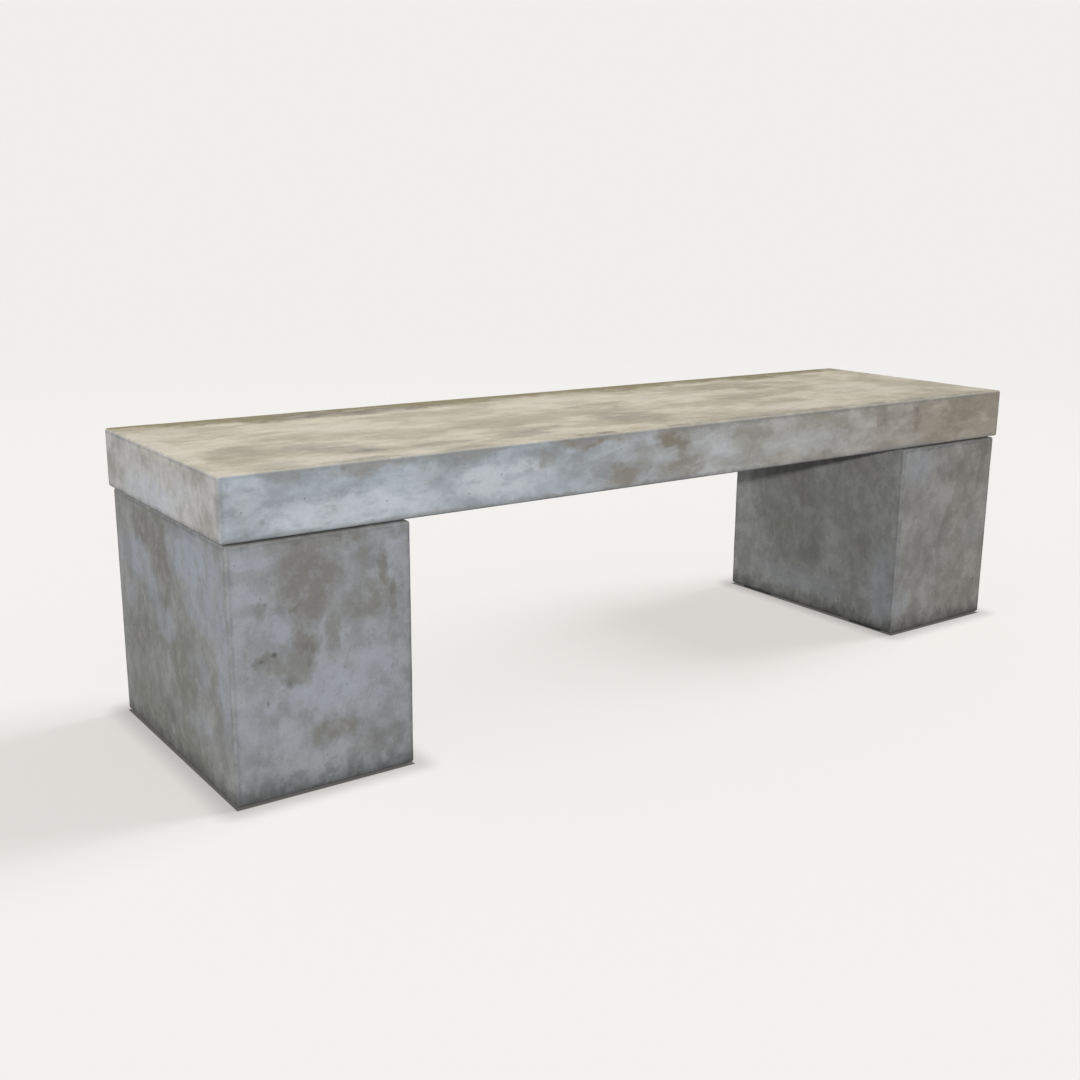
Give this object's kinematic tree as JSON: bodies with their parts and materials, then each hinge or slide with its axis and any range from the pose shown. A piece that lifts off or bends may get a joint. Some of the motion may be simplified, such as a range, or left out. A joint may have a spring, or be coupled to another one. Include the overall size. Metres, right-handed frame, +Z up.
{
  "type": "backless bench",
  "caption": "Backless concrete bench: a thick slab seat with softly rounded edges, bolted down on two hollow block legs with a thin shadow gap between.",
  "frame": {"origin": "on the ground, under the middle of the seat", "axes": "+X along the bench to the right, +Y from the front to the back, +Z up"},
  "size_m": [1.6, 0.45, 0.456],
  "materials": {
    "seat_concrete": "matte",
    "leg_concrete": "matte",
    "rubber": "matte",
    "zinc_steel": "satin",
    "bare_steel": "satin"
  },
  "bodies": {
    "root": {"seat_slab": "seat_concrete", "left_leg": "leg_concrete", "right_leg": "leg_concrete", "left_front_outer_insert": "bare_steel", "left_front_outer_bolt": "zinc_steel", "left_front_outer_washer": "zinc_steel", "left_front_outer_bearing_pad": "rubber", "left_front_outer_foot_pad": "rubber", "left_front_inner_insert": "bare_steel", "left_front_inner_bolt": "zinc_steel", "left_front_inner_washer": "zinc_steel", "left_front_inner_bearing_pad": "rubber", "left_front_inner_foot_pad": "rubber", "left_back_outer_insert": "bare_steel", "left_back_outer_bolt": "zinc_steel", "left_back_outer_washer": "zinc_steel", "left_back_outer_bearing_pad": "rubber", "left_back_outer_foot_pad": "rubber", "left_back_inner_insert": "bare_steel", "left_back_inner_bolt": "zinc_steel", "left_back_inner_washer": "zinc_steel", "left_back_inner_bearing_pad": "rubber", "left_back_inner_foot_pad": "rubber", "right_front_outer_insert": "bare_steel", "right_front_outer_bolt": "zinc_steel", "right_front_outer_washer": "zinc_steel", "right_front_outer_bearing_pad": "rubber", "right_front_outer_foot_pad": "rubber", "right_front_inner_insert": "bare_steel", "right_front_inner_bolt": "zinc_steel", "right_front_inner_washer": "zinc_steel", "right_front_inner_bearing_pad": "rubber", "right_front_inner_foot_pad": "rubber", "right_back_outer_insert": "bare_steel", "right_back_outer_bolt": "zinc_steel", "right_back_outer_washer": "zinc_steel", "right_back_outer_bearing_pad": "rubber", "right_back_outer_foot_pad": "rubber", "right_back_inner_insert": "bare_steel", "right_back_inner_bolt": "zinc_steel", "right_back_inner_washer": "zinc_steel", "right_back_inner_bearing_pad": "rubber", "right_back_inner_foot_pad": "rubber"}
  },
  "joints": []
}
